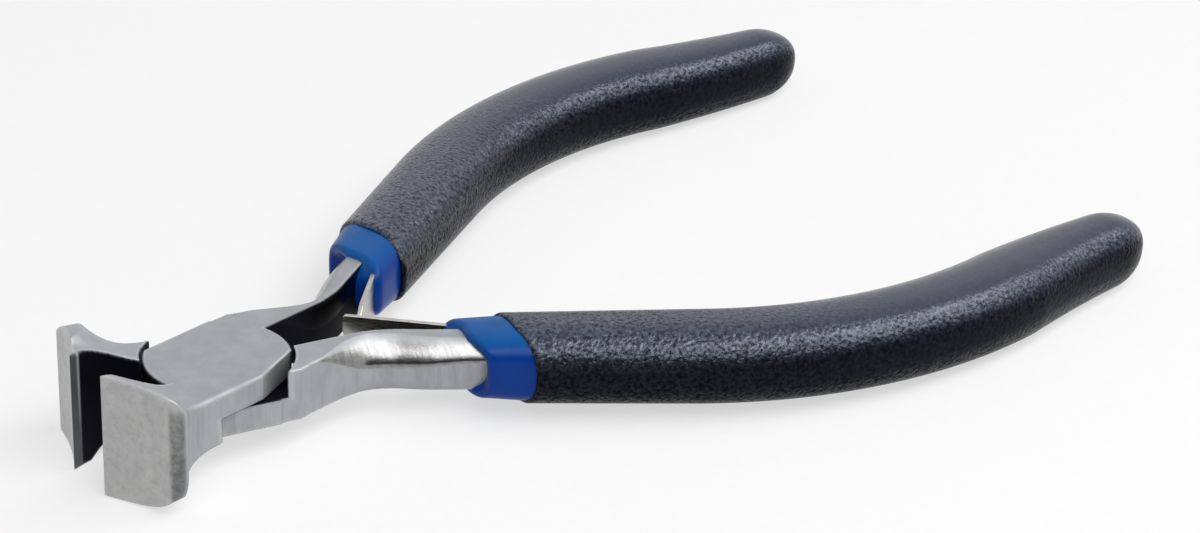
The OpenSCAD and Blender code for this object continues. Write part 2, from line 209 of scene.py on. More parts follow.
def jaw_outline():
    edge = np.array((-JAW_REACH, 0.0))
    corner = np.array((-JAW_REACH + JAW_RAKE, -JAW_SIDE))
    front = (corner - edge)/np.linalg.norm(corner - edge)
    lip_start, lip_back = corner - front*LIP_T, corner + (LIP_T, 0)
    drop = SIDE_FLARE_R + JOINT_W/2 - JAW_SIDE
    flare_x = lip_back[0] + math.sqrt(SIDE_FLARE_R**2 - drop**2)
    angles = np.radians(np.linspace(180 - math.degrees(math.asin(drop/SIDE_FLARE_R)), 90, 16))
    flare = np.stack((
        flare_x + SIDE_FLARE_R*np.cos(angles),
        -JOINT_W/2 - SIDE_FLARE_R + SIDE_FLARE_R*np.sin(angles),
    ), 1)
    bevel = math.radians(BEVEL_ANGLE)
    bevel_end = edge + BEVEL_W*np.array((math.cos(bevel), -math.sin(bevel)))
    throat_end = (-math.sqrt(LAP_R**2 - (THROAT_W/2)**2), -THROAT_W/2)
    return np.concatenate((
        bow(edge, lip_start, -FACE_BULGE), rounded(lip_start, corner, lip_back), flare,
        [(0, -JOINT_W/2), (0, 0)], bow(throat_end, bevel_end, -THROAT_BULGE),
    ))


ROUND_W, ROUND_H, PAST_EDGE = 8.2, 5.0, 2.0


def lip_outline():
    """Front view of the jaw, whose low outer corner is worn round."""
    half = EDGE_LEN/2
    return np.concatenate((
        [(PAST_EDGE, half)],
        rounded((CORNER_R - JAW_SIDE, half), (-JAW_SIDE, half), (-JAW_SIDE, half - CORNER_R)),
        rounded((-JAW_SIDE, ROUND_H - half), (-JAW_SIDE, -half), (ROUND_W - JAW_SIDE, -half), 24),
        [(PAST_EDGE, -half)],
    ))


def root_outline():
    notch = (math.sqrt(LAP_R**2 - TANG_INNER**2), TANG_INNER)
    return np.concatenate((
        [(0, 0), notch, (WAIST_X, TANG_INNER)],
        bow((WAIST_X, TANG_INNER + WAIST_W), KNEE, -WAIST_HOLLOW),
        [(0, JOINT_W/2)],
    ))


GRID = 0.16
GRID_SPAN = ((-16.0, 30.5), (-10.0, 10.4), (-7.1, 7.1))
EDGE_R, SOFT_EDGE_R, LIP_EDGE_R, CUT_EDGE_R = 0.14, 0.5, 0.2, 0.08
TANG_HIDDEN = 5.0
TANG_END = SLEEVE_AT + TANG_HIDDEN
THROAT_FILLET, FILLET_FADE = 0.6, (2.4, 1.0)
# Start and radius of the jaw's hollows: outer side, far side and beside the throat
NEAR_HOLLOW, FAR_HOLLOW, THROAT_HOLLOW = (-FLARE_X, FLARE_R), (-5.5, 8.3), (-4.0, 12.0)
# Ground by hand, so the throat's slope ends at another steepness on each side of each jaw
NEAR_THROAT_SLOPE = {"upper": 0.55, "lower": 3.0}
FAR_THROAT_SLOPE = {"upper": 3.0, "lower": 0.5}
FAR_THROAT_R = {"upper": 0.2, "lower": 1.3}
# Where these take over: towards the throat, on the soft flank, and on the worn inner top edge
BY_THROAT_Y = (-5.5, -1.5)
FLANK_Y, FLANK_X, FLANK_JAW_X = (-4.2, -5.8), (5.0, -3.0), (-11.8, -9.5)
WORN_FRONT_X, WORN_Y, WORN_BACK_X = (-16.2, -13.6), (-3.4, -1.8), (-10.0, -12.5)
# Which way is up for each lever as it lies
UP = {"upper": 1, "lower": -1}
# Polished facet along the tang's outer top edge
FACET_FROM, FACET_FULL, FACET_FADE, FACET_TO = 7.6, 15.0, 16.0, 24.0
FACET_H, FACET_END_H, FACET_DEPTH, FACET_POWER = 2.8, 2.1, 0.75, 1.6
UNDER_DEPTH, UNDER_POWER = 0.6, 2.4


def tang_place(x, y):
    """Length along the tang's centre line and offset towards the other handle."""
    bend = math.radians(TANG_BEND_ANGLE)
    cx, cy = WAIST_X, TANG_INNER + WAIST_W/2 + TANG_BEND_R
    turn = np.arctan2(x - cx, cy - y)
    ox, oy = x - cx - TANG_BEND_R*math.sin(bend), y - cy + TANG_BEND_R*math.cos(bend)
    s = np.where(
        turn < bend, LEAD_IN + TANG_BEND_R*turn,
        BEND_END + ox*math.cos(bend) + oy*math.sin(bend),
    )
    inward = np.where(
        turn < bend, np.hypot(x - cx, y - cy) - TANG_BEND_R,
        ox*math.sin(bend) - oy*math.cos(bend),
    )
    return np.where(turn < 0, x - KNEE[0], s), np.where(turn < 0, cy - TANG_BEND_R - y, inward)


def hollow(x, start, r, steepest=3.0):
    """Rise of a hollow that leaves the joint's face at start, and its slope."""
    last = r*math.sin(math.atan(steepest))
    u = np.clip(start - x, 0, last)
    root = np.sqrt(r*r - u*u)
    return r - root + steepest*np.maximum(start - x - last, 0), u/root


def jaw_distance(x, y, z, half):
    by_throat = smooth(*BY_THROAT_Y, y)
    outer = [hollow(x, *cut) for cut in (NEAR_HOLLOW, FAR_HOLLOW)]
    throat = [
        hollow(x, *THROAT_HOLLOW, steepest[half]) for steepest in (NEAR_THROAT_SLOPE, FAR_THROAT_SLOPE)
    ]
    rise, slope = (
        np.where(z > 0, *(a[i]*(1 - by_throat) + b[i]*by_throat for a, b in zip(outer, throat)))
        for i in (0, 1)
    )
    high = (np.abs(z) - HALF_JOINT - rise)/np.sqrt(1 + slope*slope)
    flank = smooth(*FLANK_Y, y)*smooth(*FLANK_X, x)*smooth(*FLANK_JAW_X, x)
    jaw = meet(outline_distance(jaw_outline(), x, y), high, EDGE_R + (SOFT_EDGE_R - EDGE_R)*flank)
    worn = smooth(*WORN_FRONT_X, x)*smooth(*WORN_Y, y)*smooth(*WORN_BACK_X, x)*(z < 0)
    edge_r = LIP_EDGE_R + (FAR_THROAT_R[half] - LIP_EDGE_R)*worn
    return meet(jaw, outline_distance(lip_outline(), y, z), edge_r)


def facet_height(x):
    full = FACET_H*smooth(FACET_FROM, FACET_FULL, x)
    return full + (FACET_END_H - FACET_H)*smooth(FACET_FADE, FACET_TO, x)


def facet_share(x, up, high):
    """How far up the tang's polished facet a place is: 0 at its lower edge, 1 at the top."""
    tall = np.maximum(facet_height(x), 0.05)
    return (up - high + tall)/tall


def rest_distance(x, y, z, half):
    """Lap plate, tang root and tang."""
    cut = math.radians(LAP_CUT_ANGLE)
    lap = np.maximum(np.abs(y) - JOINT_W/2, x*math.cos(cut) + y*math.sin(cut) - LAP_CUT_D)
    lap = np.maximum(lap, np.hypot(x, y) - LAP_R)
    s, inward = tang_place(x, y)
    run = smooth(LEAD_IN, SLEEVE_AT - FRONT_SLANT, s)
    half_w = WAIST_W/2 + (TANG_W - WAIST_W)/2*run
    offset = inward + TANG_OFFSET*run
    tang = np.maximum(np.abs(offset) - half_w, np.maximum(s - TANG_END, LEAD_IN - 1 - s))
    plan = np.minimum(np.minimum(lap, outline_distance(root_outline(), x, y)), tang)
    high = HALF_JOINT + (TANG_H/2 - HALF_JOINT)*run
    flank = smooth(*FLANK_Y, y)*smooth(*FLANK_X, x)
    solid = meet(plan, np.abs(z) - high, EDGE_R + (SOFT_EDGE_R - EDGE_R)*flank)
    # Facet and worn lower edge, both measured from the tang's outer wall
    back = np.clip((WAIST_X - x)/LEAD_IN, 0, 1)
    root_w = (KNEE[1] - TANG_INNER - WAIST_W)*back - 4*WAIST_HOLLOW*back*(1 - back)
    up = UP[half]*z
    facet = FACET_DEPTH*facet_height(x)*np.clip(facet_share(x, up, high), 0, 1)**FACET_POWER
    under = UNDER_DEPTH*smooth(FACET_FROM, FACET_FULL, x)*np.clip(-up/high, 0, 1)**UNDER_POWER
    worn = np.where(x > FACET_FROM, facet + under - offset - half_w - root_w, -9.0)
    return meet(solid, worn, CUT_EDGE_R)


def lever_distance(x, y, z, half):
    """Signed distance to a shut lever's skin."""
    fillet_r = THROAT_FILLET*smooth(*FILLET_FADE, np.hypot(x + LAP_R, y + THROAT_W/2))
    solid = -meet(-jaw_distance(x, y, z, half), -rest_distance(x, y, z, half), fillet_r)
    # Room for the other lever's plate
    room = np.maximum(np.hypot(x, y) - SHOULDER_R, z - LAP_GAP/2)
    return meet(solid, -room, CUT_EDGE_R)


def lever_slope(points, half, reach=0.02):
    """Change of the distance along each axis at points."""
    return np.stack([
        lever_distance(*(points + step).T, half) - lever_distance(*(points - step).T, half)
        for step in reach*np.eye(3)
    ], 1)/(2*reach)


CORNERS = np.array([(i, j, k) for i in (0, 1) for j in (0, 1) for k in (0, 1)])
CELL_EDGES = [
    (a, b) for a in range(8) for b in range(a + 1, 8) if np.abs(CORNERS[a] - CORNERS[b]).sum() == 1
]


def skin_of(field, axes):
    """Vertices and quads of the surface where a field is zero."""
    solid = field < 0
    n = np.array(field.shape) - 1
    count = sum(
        solid[i:i + n[0], j:j + n[1], k:k + n[2]].astype(np.int8) for i, j, k in CORNERS
    )
    cells = np.argwhere((count > 0) & (count < 8))
    values = np.stack([field[tuple((cells + c).T)] for c in CORNERS], 1)
    total = np.zeros((len(cells), 3))
    hits = np.zeros(len(cells))
    for a, b in CELL_EDGES:
        fa, fb = values[:, a], values[:, b]
        crossed = (fa < 0) != (fb < 0)
        t = np.where(crossed, fa/np.where(crossed, fa - fb, 1), 0)[:, None]
        total += np.where(crossed[:, None], CORNERS[a] + t*(CORNERS[b] - CORNERS[a]), 0)
        hits += crossed
    grid_pos = cells + total/hits[:, None]
    points = np.stack([np.interp(grid_pos[:, i], np.arange(len(axes[i])), axes[i]) for i in range(3)], 1)
    index = np.full(n, -1, np.int64)
    index[tuple(cells.T)] = np.arange(len(cells))
    quads = []
    for axis in range(3):
        b, c = (axis + 1) % 3, (axis + 2) % 3
        lo = [slice(1, -1)]*3
        hi = [slice(1, -1)]*3
        lo[axis], hi[axis] = slice(0, -1), slice(1, None)
        first, second = solid[tuple(lo)], solid[tuple(hi)]
        at = np.argwhere(first != second)
        starts_solid = first[tuple(at.T)]
        base = at.copy()
        base[:, b] += 1
        base[:, c] += 1
        ring = []
        for db, dc in ((1, 1), (0, 1), (0, 0), (1, 0)):
            cell = base.copy()
            cell[:, b] -= db
            cell[:, c] -= dc
            ring.append(index[tuple(cell.T)])
        quad = np.stack(ring, 1)
        quad[~starts_solid] = quad[~starts_solid][:, ::-1]
        quads.append(quad)
    return points, np.concatenate(quads)


def lever_skin(half):
    """Vertices, quads and outward directions of a shut lever."""
    axes = [np.arange(lo, hi, GRID) for lo, hi in GRID_SPAN]
    x, y, z = np.meshgrid(*axes, indexing="ij", sparse=True)
    points, quads = skin_of(lever_distance(x, y, z, half), axes)
    slope = lever_slope(points, half)
    off = lever_distance(*points.T, half)/np.maximum((slope**2).sum(1), 0.2)
    points = points - np.clip(off, -GRID/2, GRID/2)[:, None]*slope
    normal = lever_slope(points, half)
    return points, quads, normal/np.maximum(np.linalg.norm(normal, axis=1, keepdims=True), 1e-9)


def evened(values, quads):
    """Values averaged with those of the neighbouring vertices."""
    total, count = values.copy(), np.ones(len(values))
    for a, b in ((0, 1), (1, 2), (2, 3), (3, 0)):
        total += np.bincount(quads[:, a], values[quads[:, b]], len(values))
        count += np.bincount(quads[:, a], minlength=len(values))
    return total/count


# Where the masks of the steel fade in: FACING and LEVEL are shares of a direction, the rest lengths
EDGE_PROBE, EDGE_BEND = 0.35, (0.02, 0.12)
CUTTING_X, CUTTING_END = (-14.2, -14.5), (0.2, 0.5)
INNER_FACING, INNER_X, INNER_LEVEL = (0.5, 0.8), (-2.5, -3.2), (0.5, 0.25)
BEVEL_FADE, BEVEL_LINE_W, BEVEL_LINE_UP = 0.07, 0.12, (4.5, -4.0)
TANG_IN_FACING, TANG_IN_X, TANG_IN_SIDE = (0.55, 0.8), (5.8, 6.4), (0.2, 0.6)
LAP_FACING, LAP_WALL_NEAR, LAP_WALL_Z = (0.7, 0.9), (0.35, 0.2), (0.3, 0.0)
LAP_FACE_LEVEL, LAP_FACE_Z, LAP_FACE_OVER = (0.6, 0.85), (0.3, 0.1), 0.2
LAP_RIM_NEAR, LAP_RIM_Y = (0.3, 0.15), (5.6, 5.0)
POLISH_LOW, POLISH_HIGH, POLISH_RUN = (-0.03, 0.03), (1.0, 0.7), 2.0
UPRIGHT_LEVEL = (0.8, 0.2)
FRONT_FACING, FRONT_X = (0.45, 0.75), (-10.5, -11.5)
# Where the painted shade on the near jaw's turned lip fades in
TURNED_Y, TURNED_X, TURNED_Z = (-7.9, -8.5), (-12.2, -12.7), (6.0, 4.0)


def dark_scale_and_lap_shade(x, y, z, nx, ny, nz):
    """Dark scale on the tang's inner side, and painted shade on the walls, face and rim of the lap, in
    the gaps between the plates.
    """
    rho = np.hypot(x, y)
    radial = (nx*x + ny*y)/np.maximum(rho, 1e-9)
    out_or_down = np.hypot(np.maximum(radial, 0), np.maximum(-nz, 0))
    inward = tang_place(x, y)[1]
    tang_in = smooth(*TANG_IN_FACING, -ny)*smooth(*TANG_IN_X, x)*smooth(*TANG_IN_SIDE, inward)
    wall = smooth(*LAP_FACING, -radial)*smooth(*LAP_WALL_NEAR, np.abs(rho - SHOULDER_R))
    face = smooth(*LAP_FACE_LEVEL, -nz)*smooth(*LAP_FACE_Z, np.abs(z))
    rim = smooth(*LAP_FACING, out_or_down)*smooth(*LAP_RIM_NEAR, np.abs(rho - LAP_R))
    return (
        tang_in + wall*smooth(*LAP_WALL_Z, z)
        + face*smooth(SHOULDER_R + LAP_FACE_OVER, SHOULDER_R, rho) + rim*smooth(*LAP_RIM_Y, np.abs(y))
    )


def lever_masks(points, quads, normal, half):
    """Shares of each kind of surface at the points of a lever's skin."""
    x, y, z = points.T
    nx, ny, nz = normal.T
    up = UP[half]*z
    # How convex the skin is, from the distance just under it
    bend = lever_distance(*(points - EDGE_PROBE*normal).T, half) + EDGE_PROBE
    ends = [EDGE_LEN/2 - v for v in CUTTING_END]
    cutting = smooth(*CUTTING_X, x)*smooth(*ends, np.abs(z))
    inner = smooth(*INNER_FACING, ny)*smooth(*INNER_X, x)*smooth(*INNER_LEVEL, np.abs(nz))
    bevel_end = BEVEL_W*math.cos(math.radians(BEVEL_ANGLE)) - JAW_REACH
    on_bevel = smooth(bevel_end + BEVEL_FADE, bevel_end - BEVEL_FADE, x)
    bevel_line = np.exp(-((x - bevel_end)/BEVEL_LINE_W)**2)*smooth(*BEVEL_LINE_UP, -up)
    # Dark scale on the inner sides, and painted shade in the gaps of the lap
    scale = np.clip(inner*(1 - on_bevel) + dark_scale_and_lap_shade(x, y, z, nx, ny, nz), 0, 1)
    share = facet_share(x, up, TANG_H/2)
    on_facet = smooth(*POLISH_LOW, share)*smooth(*POLISH_HIGH, share)
    return {
        "edge": smooth(*EDGE_BEND, bend)*(1 - cutting),
        "bevel": inner*on_bevel,
        "bevel_line": inner*bevel_line,
        # Dark scale on the inner sides, and painted shade in the gaps of the lap
        "scale": evened(scale, quads),
        "polish": on_facet*smooth(FACET_FROM, FACET_FROM + POLISH_RUN, x),
        "upright": smooth(*UPRIGHT_LEVEL, np.abs(nz)),
        "front": smooth(*FRONT_FACING, -nx)*smooth(*FRONT_X, x),
        # Painted shade: a dark, mottled band on the near jaw's turned lip
        "lip_shade_band": smooth(*TURNED_Y, y)*smooth(*TURNED_X, x)*smooth(*TURNED_Z, z),
    }


def make_lever(half):
    points, quads, normal = lever_skin(half)
    obj = make_mesh(half + "_lever_forging", place_points(points, half), quads)
    placed_normal = normal @ np.array(HALVES[half])[:3, :3].T
    obj.data.normals_split_custom_set_from_vertices([tuple(v) for v in placed_normal])
    for name, values in lever_masks(points, quads, normal, half).items():
        add_mask(obj, name, values)
    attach(obj, half + "_half")
    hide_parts(half + "_lever")
    return obj


# Sleeves, grips, springs and rivet: rings joined into skins

def join_rings(rings, cap_first=False, cap_last=False):
    """Points and faces of a skin over rings of equal length."""
    size = len(rings[0])
    points = np.concatenate(rings)
    faces = []
    for j in range(len(rings) - 1):
        for k in range(size):
            n = (k + 1) % size
            faces.append((j*size + k, j*size + n, (j + 1)*size + n, (j + 1)*size + k))
    if cap_first:
        faces.append(tuple(range(size - 1, -1, -1)))
    if cap_last:
        faces.append(tuple(range((len(rings) - 1)*size, len(rings)*size)))
    return points, faces


AROUND = 96


def section(s, half_w, half_h, power, shift=0.0, slant=0.0):
    """One ring round the centre line; the slant carries its inner side forward."""
    turn = np.linspace(0, 2*math.pi, AROUND, endpoint=False)
    c, v = np.cos(turn), np.sin(turn)
    across = shift + half_w*np.sign(c)*np.abs(c)**(2/power)
    up = half_h*np.sign(v)*np.abs(v)**(2/power)
    x, y, ix, iy = on_line(s - slant*c)
    return np.stack((x + across*ix, y + across*iy, up), 1)


def slant_at(s, start):
    return FRONT_SLANT*max(0.0, 1 - (s - start)/SLANT_FADE)


SLEEVE_POWER, GRIP_POWER = 3.0, 2.4


def sleeve_size(s):
    at = (SLEEVE_AT, GRIP_AT)
    return (
        np.interp(s, at, (SLEEVE_FRONT_W/2, SLEEVE_W/2)),
        np.interp(s, at, (SLEEVE_FRONT_H/2, SLEEVE_H/2)),
    )


def grip_size(s):
    at = (GRIP_AT, FULL_FROM, FULL_TO, PATH_LEN)
    return (
        np.interp(s, at, np.array((GRIP_FRONT_W, GRIP_W, GRIP_W, GRIP_END_W))/2),
        np.interp(s, at, np.array((GRIP_FRONT_H, GRIP_H, GRIP_H, GRIP_END_H))/2),
    )


def add_ring_masks(obj, lengths, half):
    """Length from the front end, and height from -1 at the bottom line to 1 at the top line."""
    turn = np.linspace(0, 2*math.pi, AROUND, endpoint=False)
    add_mask(obj, "along", np.repeat(lengths, AROUND))
    add_mask(obj, "height", np.tile(UP[half]*np.sin(turn), len(lengths)))


def rim_rings(start, r, size_at, power, count):
    """Rings and lengths of a sleeve's rolled front rim."""
    rings, lengths = [], []
    for angle in np.radians(np.linspace(0, 90, count)):
        back, grow = r*(1 - math.cos(angle)), r*(math.sin(angle) - 1)
        s = start + back
        half_w, half_h = size_at(s)
        rings.append(section(s, half_w + grow, half_h + grow, power, 0, slant_at(s, start)))
        lengths.append(back)
    return rings, lengths


def wall_rings(start, places, size_at, power, grow=0.0):
    """Rings and lengths of a sleeve's wall at places along the centre line."""
    rings = []
    for s in places:
        half_w, half_h = size_at(s)
        rings.append(section(s, half_w + grow, half_h + grow, power, 0, slant_at(s, start)))
    return rings, [s - start for s in places]


def make_collar(half):
    lip_r, hole_in, hidden = 0.7, 0.5, 7.0
    mouth = section(
        SLEEVE_AT, TANG_W/2 - hole_in, TANG_H/2 - hole_in, SLEEVE_POWER, -TANG_OFFSET, FRONT_SLANT
    )
    places = np.linspace(SLEEVE_AT + lip_r, GRIP_AT + hidden, 24)[1:]
    rim, rim_lengths = rim_rings(SLEEVE_AT, lip_r, sleeve_size, SLEEVE_POWER, 9)
    wall, wall_lengths = wall_rings(SLEEVE_AT, places, sleeve_size, SLEEVE_POWER)
    points, faces = join_rings([mouth] + rim + wall, cap_last=True)
    obj = make_mesh(half + "_collar", place_points(points, half), faces)
    add_ring_masks(obj, [0.0] + rim_lengths + wall_lengths, half)
    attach(obj, half + "_half")
    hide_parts(half + "_collar_sleeve")
    return obj


def tip_rings():
    """Rings and lengths of a grip's round end."""
    last_turn, taper_power = 88, 0.92
    rings, lengths = [], []
    for angle in np.radians(np.linspace(0, last_turn, 22))[1:]:
        s = PATH_LEN - TIP_LEN + TIP_LEN*math.sin(angle)
        half_w, half_h = grip_size(s)
        taper = math.cos(angle)**taper_power
        rings.append(section(s, half_w*taper, half_h*taper, GRIP_POWER))
        lengths.append(s - GRIP_AT)
    return rings, lengths


def make_grip(half):
    rim_r, seat_gap, inside = 0.4, 0.05, 5.0
    seat_places = np.linspace(GRIP_AT + inside, GRIP_AT + rim_r, 6)
    wall_places = np.linspace(GRIP_AT + rim_r, PATH_LEN - TIP_LEN, 130)[1:]
    seat, _ = wall_rings(GRIP_AT, seat_places, sleeve_size, SLEEVE_POWER, seat_gap)
    rim, rim_lengths = rim_rings(GRIP_AT, rim_r, grip_size, GRIP_POWER, 8)
    wall, wall_lengths = wall_rings(GRIP_AT, wall_places, grip_size, GRIP_POWER)
    tip, tip_lengths = tip_rings()
    points, faces = join_rings(seat + rim + wall + tip, cap_last=True)
    obj = make_mesh(half + "_grip_cover", place_points(points, half), faces)
    add_ring_masks(obj, [0.0]*len(seat) + rim_lengths + wall_lengths + tip_lengths, half)
    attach(obj, half + "_half")
    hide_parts(half + "_grip")
    return obj


def leaf_frame():
    """Root, direction to the tip and length of the shut upper leaf."""
    x, y, ix, iy = on_line(BEND_END + LEAF_ROOT_RUN)
    root = np.array((x + LEAF_ROOT_IN*ix, y + LEAF_ROOT_IN*iy))
    a = math.radians(-HALF_OPEN)
    tx, ty = LEAF_TIP_X, (LEAF_TIP_GAP + LEAF_T)/2
    tip = np.array((tx*math.cos(a) - ty*math.sin(a), tx*math.sin(a) + ty*math.cos(a)))
    length = np.linalg.norm(tip - root)
    return root, (tip - root)/length, length


def corner_curve(size_u, size_v, u):
    """Height cut from a corner at distance u from the tip."""
    t = 1 - math.sqrt(max(0.0, 1 - min(1.0, max(0.0, 1 - u/size_u))))
    return size_v*t*t


def make_leaf(half):
    root, way, length = leaf_frame()
    tip = length + (LEAF_LONGER if half == "lower" else 0)
    side = np.array((-way[1], way[0]))
    edge_r, fine, bend_share = 0.12, 3, 0.6
    rings = []
    steps = np.concatenate((
        np.linspace(-LEAF_TAIL, tip - fine, 26),
        tip - fine + fine*np.sin(np.linspace(0, math.pi/2, 24))[1:],
    ))
    for u in steps:
        left = tip - u
        top = LEAF_W/2 - corner_curve(LEAF_ROUND_W, LEAF_ROUND_H, left)
        low = -LEAF_W/2 + corner_curve(LEAF_CORNER_R, LEAF_CORNER_R, left)
        ring = []
        for cv, cw, start in ((top, 1, 0), (top, -1, 90), (low, -1, 180), (low, 1, 270)):
            for angle in np.radians(np.linspace(start, start + 90, 5)):
                off = cw*(LEAF_T/2 - edge_r) + edge_r*math.cos(angle)
                high = cv - math.copysign(edge_r, cv - (top + low)/2) + edge_r*math.sin(angle)
                p = root + way*u + side*off
                ring.append((p[0], p[1], high))
        rings.append(np.array(ring))
    points, faces = join_rings(rings, True, True)
    obj = make_mesh(half + "_leaf", place_points(points, half), faces)
    start = place_points(np.array([(*root, 0.0)]), half)[0]
    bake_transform(obj)
    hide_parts(half + "_leaf_spring")
    return obj


def make_rivet():
    """The rivet shows a hair proud on the underside; its top end is ground into the plate."""
    sunk, ease, proud, least_r, sides = 0.3, 0.06, 0.03, 0.02, 72
    top = JOINT_T - sunk
    profile = [
        (least_r, -proud), (RIVET_HEAD_R - ease, -proud), (RIVET_HEAD_R, ease - proud),
        (RIVET_R, RIVET_HEAD_T), (RIVET_R, top - ease), (RIVET_R - ease, top), (least_r, top),
    ]
    turn = np.linspace(0, 2*math.pi, sides, endpoint=False)
    rings = [np.stack((r*np.cos(turn), r*np.sin(turn), np.full(sides, h)), 1) for r, h in profile]
    points, faces = join_rings(rings, True, True)
    obj = make_mesh("pivot_rivet_flush", points*MM, faces)
    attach(obj, "upper_half")
    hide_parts("pivot_rivet")
    return obj


# Materials

class Nodes:
    """Short hand for building a node material."""

    def __init__(self, name):
        self.material = bpy.data.materials.new(name)
        self.material.use_nodes = True
        self.tree = self.material.node_tree
        self.shader = self.tree.nodes["Principled BSDF"]

    def add(self, kind, inputs=None, **settings):
        node = self.tree.nodes.new(kind)
        for key, value in settings.items():
            setattr(node, key, value)
        for key, value in (inputs or {}).items():
            self.feed(node.inputs[key], value)
        return node

    def feed(self, socket, value):
        if isinstance(value, bpy.types.NodeSocket):
            self.tree.links.new(value, socket)
        else:
            socket.default_value = value

    def noise(self, vector, scale, detail=3.0, rough=0.55):
        node = self.add("ShaderNodeTexNoise", {
            "Vector": vector, "Scale": scale, "Detail": detail, "Roughness": rough,
        })
        return node.outputs["Fac"]

    def ramp(self, value, stops):
        node = self.add("ShaderNodeValToRGB", {"Fac": value})
        ramp = node.color_ramp
        while len(ramp.elements) < len(stops):
            ramp.elements.new(0.5)
        for element, (place, color) in zip(ramp.elements, stops):
            element.position = place
            element.color = (*color, 1) if len(color) == 3 else color
        return node.outputs["Color"]

    def range(self, value, lo, hi, to_lo, to_hi):
        node = self.add("ShaderNodeMapRange", {
            "Value": value, "From Min": lo, "From Max": hi, "To Min": to_lo, "To Max": to_hi,
        })
        return node.outputs["Result"]

    def math(self, kind, a, b):
        node = self.add("ShaderNodeMath", operation=kind)
        self.feed(node.inputs[0], a)
        self.feed(node.inputs[1], b)
        return node.outputs[0]

    def mix(self, factor, a, b):
        node = self.add("ShaderNodeMix", data_type="RGBA")
        self.feed(node.inputs["Factor"], factor)
        self.feed(node.inputs[6], a if isinstance(a, bpy.types.NodeSocket) else (*a, 1))
        self.feed(node.inputs[7], b if isinstance(b, bpy.types.NodeSocket) else (*b, 1))
        return node.outputs[2]

    def mask(self, name):
        return self.add("ShaderNodeAttribute", attribute_name=name).outputs["Fac"]

    def place(self):
        return self.add("ShaderNodeTexCoord").outputs["Object"]

    def stretch(self, vector, scale):
        return self.add("ShaderNodeMapping", {"Vector": vector, "Scale": scale}).outputs["Vector"]

    def bump(self, height, strength, distance):
        node = self.add("ShaderNodeBump", {"Height": height, "Strength": strength, "Distance": distance})
        self.feed(self.shader.inputs["Normal"], node.outputs["Normal"])

    def set(self, **values):
        for key, value in values.items():
            name = key.replace("_", " ")
            socket = self.shader.inputs[name]
            self.feed(socket, value)


def lever_steel():
    """Satin steel with blasted fronts, streaked sides, polished tangs, dark scale on the inner sides,
    and painted shade in the gaps of the lap and on the near jaw's turned lip.
    """
    n = Nodes("satin_tool_steel")
    where = n.place()
    blotch = n.noise(where, 420, 4)
    pits = n.noise(where, 3600, 3)
    speck = n.noise(where, 1100, 6, 0.75)
    brush = n.noise(n.stretch(where, (350, 5200, 5200)), 1.0, 3)
    across = n.noise(n.stretch(where, (2400, 420, 420)), 1.0, 5, 0.65)
    drips = n.noise(n.stretch(where, (1100, 1100, 150)), 1.0, 6, 0.7)
    upright, front, polish = n.mask("upright"), n.mask("front"), n.mask("polish")
    satin = n.ramp(blotch, (
        (0.3, (0.325, 0.333, 0.357)), (0.55, (0.355, 0.363, 0.387)), (0.75, (0.385, 0.392, 0.412)),
    ))
    blasted = n.ramp(speck, (
        (0.36, (0.53, 0.53, 0.525)), (0.5, (0.5, 0.5, 0.495)), (0.66, (0.41, 0.41, 0.405)),
    ))
    buffed = n.ramp(across, (
        (0.32, (0.19, 0.188, 0.186)), (0.5, (0.25, 0.248, 0.246)), (0.66, (0.3, 0.3, 0.3)),
    ))
    whetted = n.ramp(blotch, ((0.3, (0.12, 0.13, 0.14)), (0.7, (0.15, 0.16, 0.17))))
    # Each kind of surface covers those before it, by its mask
    layers = (
        (n.math("MULTIPLY", upright, 0.6), (0.51, 0.516, 0.53)),
        (n.math("MULTIPLY", upright, n.range(drips, 0.42, 0.7, 0.0, 0.42)), (0.25, 0.25, 0.255)),
        (n.math("MULTIPLY", front, n.range(blotch, 0.3, 0.7, 0.8, 1.0)), blasted),
        # Painted shade: a dark, mottled band on the near jaw's turned lip
        (
            n.math("MULTIPLY", n.mask("lip_shade_band"), n.range(speck, 0.35, 0.65, 0.45, 0.9)),
            (0.14, 0.14, 0.14),
        ),
        (n.math("MULTIPLY", n.mask("edge"), 0.3), (0.65, 0.65, 0.65)),
        (polish, buffed),
        (n.mask("bevel"), whetted),
        # Dark scale on the inner sides, and painted shade in the gaps of the lap
        (n.mask("scale"), (0.008, 0.008, 0.012)),
        (n.math("MULTIPLY", n.mask("bevel_line"), 0.8), (0.7, 0.7, 0.7)),
    )
    tone = satin
    for share, cover in layers:
        tone = n.mix(share, tone, cover)
    rough = n.range(blotch, 0.3, 0.75, 0.68, 0.6)
    rough = n.math("SUBTRACT", rough, n.math("MULTIPLY", polish, 0.4))
    n.set(Base_Color=tone, Roughness=rough, Metallic=1.0)
    pitted = n.math("MULTIPLY", pits, n.range(front, 0, 1, 0.3, 1.2))
    n.bump(n.math("ADD", pitted, n.math("MULTIPLY", brush, 0.3)), 0.2, 0.0001)
    return n.material


def spring_steel():
    n = Nodes("spring_strip")
    where = n.place()
    draw = n.noise(n.stretch(where, (900, 900, 9000)), 1.0, 3)
    n.set(
        Base_Color=n.ramp(draw, ((0.3, (0.40, 0.39, 0.36)), (0.7, (0.52, 0.51, 0.47)))),
        Roughness=n.range(draw, 0.3, 0.7, 0.24, 0.36), Metallic=1.0,
    )
    n.bump(draw, 0.05, 0.00005)
    return n.material


